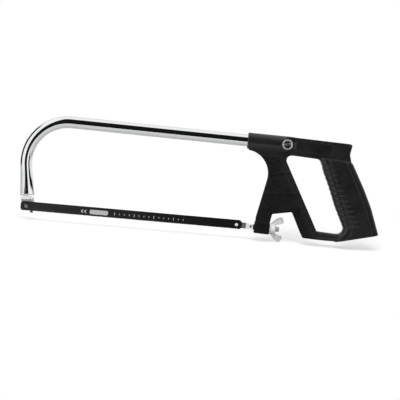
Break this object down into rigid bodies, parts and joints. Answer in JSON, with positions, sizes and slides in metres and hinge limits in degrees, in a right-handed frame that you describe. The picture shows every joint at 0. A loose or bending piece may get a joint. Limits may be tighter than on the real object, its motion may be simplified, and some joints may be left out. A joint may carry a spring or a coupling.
{
  "type": "hacksaw",
  "caption": "Hand hacksaw: bent round-tube bow, cast pistol handle with a ribbed grip, 300 mm blade on two pins, tensioned by a wing nut and draw bolt.",
  "frame": {"origin": "middle of the hand grip, on the plane that the blade cuts in", "axes": "+X along the blade from its front end towards the handle, +Z from the teeth up towards the bow tube, +Y to the far side"},
  "size_m": [0.5156, 0.027, 0.1525],
  "materials": {
    "casting": "die cast, with a pebbled satin black coat",
    "chrome_tube": "bright chrome plate",
    "chrome_screw": "bright plate",
    "plated_steel": "dull zinc plate",
    "zinc_nut": "satin zinc plate, pressed",
    "blade_steel": "semi-gloss black"
  },
  "bodies": {
    "frame": {"handle_casting": "casting", "bow_tube": "chrome_tube", "front_blade_holder": "plated_steel", "front_blade_pin": "plated_steel", "front_turned_pin": "plated_steel", "frame_screw": "chrome_screw", "frame_screw_nut": "chrome_screw", "thrust_washer": "plated_steel"},
    "wing_nut": {"wing_nut": "zinc_nut"},
    "draw_bolt": {"draw_bolt": "plated_steel", "rear_blade_pin": "plated_steel"},
    "blade": {"blade": "blade_steel"}
  },
  "joints": [
    {"name": "wing_nut_turn", "type": "hinge", "parent": "frame", "child": "wing_nut", "pos_m": [-0.10457, 0, -0.04939], "axis": [0.9997, 0, -0.0262], "range_deg": [0, 260]},
    {"name": "draw_bolt_slide", "type": "slide", "parent": "frame", "child": "draw_bolt", "axis": [-0.9997, 0, 0.0262], "range_m": [0, 0.0009]},
    {"name": "blade_lift_off", "type": "slide", "parent": "frame", "child": "blade", "axis": [0, -1, 0], "range_m": [0, 0.012]}
  ],
  "couplings": [
    {"joint": "wing_nut_turn", "follows": "draw_bolt_slide", "rad_per_m": 5026.5}
  ]
}
